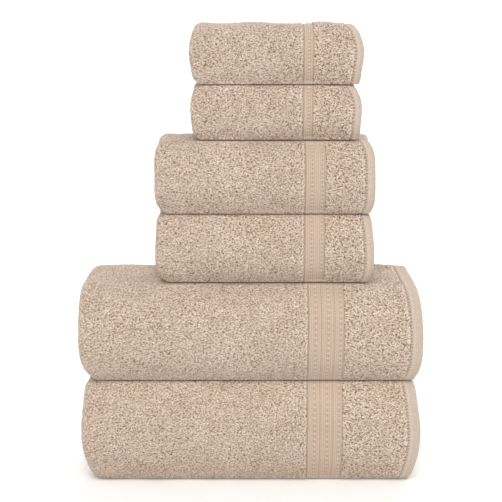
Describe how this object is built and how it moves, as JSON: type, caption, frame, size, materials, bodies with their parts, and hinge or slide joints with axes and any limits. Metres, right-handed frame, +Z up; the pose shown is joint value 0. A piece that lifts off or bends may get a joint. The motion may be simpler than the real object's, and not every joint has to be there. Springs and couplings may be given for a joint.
{
  "type": "bath towel set",
  "caption": "Stack of rolled terry towels in three sizes, each with a pile field, a dobby border, a pile panel and a stitched end hem.",
  "frame": {"origin": "middle of the footprint, on the surface that the stack stands on", "axes": "+Z up through the stack, +X along the rolls towards the end with the borders and hems, -Y to the front"},
  "size_m": [0.35, 0.142, 0.4705],
  "materials": {
    "terry_pile": "looped cotton terry pile, matt",
    "dobby_weave": "flat ribbed dobby weave with raised dot columns, slight sheen",
    "hem_weave": "flat plain weave, matt",
    "sewing_thread": "spun polyester thread, lockstitch"
  },
  "bodies": {
    "bath_lower": {"bath_lower_main_pile": "terry_pile", "bath_lower_dobby_border": "dobby_weave", "bath_lower_end_pile": "terry_pile", "bath_lower_end_hem": "hem_weave", "bath_lower_side_hem": "hem_weave", "bath_lower_inner_roll": "terry_pile", "bath_lower_hem_thread": "sewing_thread"},
    "bath_upper": {"bath_upper_main_pile": "terry_pile", "bath_upper_dobby_border": "dobby_weave", "bath_upper_end_pile": "terry_pile", "bath_upper_end_hem": "hem_weave", "bath_upper_side_hem": "hem_weave", "bath_upper_inner_roll": "terry_pile", "bath_upper_hem_thread": "sewing_thread"},
    "hand_lower": {"hand_lower_main_pile": "terry_pile", "hand_lower_dobby_border": "dobby_weave", "hand_lower_end_pile": "terry_pile", "hand_lower_end_hem": "hem_weave", "hand_lower_side_hem": "hem_weave", "hand_lower_inner_roll": "terry_pile", "hand_lower_hem_thread": "sewing_thread"},
    "hand_upper": {"hand_upper_main_pile": "terry_pile", "hand_upper_dobby_border": "dobby_weave", "hand_upper_end_pile": "terry_pile", "hand_upper_end_hem": "hem_weave", "hand_upper_side_hem": "hem_weave", "hand_upper_inner_roll": "terry_pile", "hand_upper_hem_thread": "sewing_thread"},
    "wash_lower": {"wash_lower_main_pile": "terry_pile", "wash_lower_dobby_border": "dobby_weave", "wash_lower_end_pile": "terry_pile", "wash_lower_end_hem": "hem_weave", "wash_lower_side_hem": "hem_weave", "wash_lower_inner_roll": "terry_pile", "wash_lower_hem_thread": "sewing_thread"},
    "wash_upper": {"wash_upper_main_pile": "terry_pile", "wash_upper_dobby_border": "dobby_weave", "wash_upper_end_pile": "terry_pile", "wash_upper_end_hem": "hem_weave", "wash_upper_side_hem": "hem_weave", "wash_upper_inner_roll": "terry_pile", "wash_upper_hem_thread": "sewing_thread"}
  },
  "joints": [
    {"name": "lift_bath_upper", "type": "slide", "parent": "bath_lower", "child": "bath_upper", "axis": [0, 0, 1], "range_m": [0, 0.12]},
    {"name": "lift_hand_lower", "type": "slide", "parent": "bath_upper", "child": "hand_lower", "axis": [0, 0, 1], "range_m": [0, 0.12]},
    {"name": "lift_hand_upper", "type": "slide", "parent": "hand_lower", "child": "hand_upper", "axis": [0, 0, 1], "range_m": [0, 0.12]},
    {"name": "lift_wash_lower", "type": "slide", "parent": "hand_upper", "child": "wash_lower", "axis": [0, 0, 1], "range_m": [0, 0.12]},
    {"name": "lift_wash_upper", "type": "slide", "parent": "wash_lower", "child": "wash_upper", "axis": [0, 0, 1], "range_m": [0, 0.12]}
  ]
}
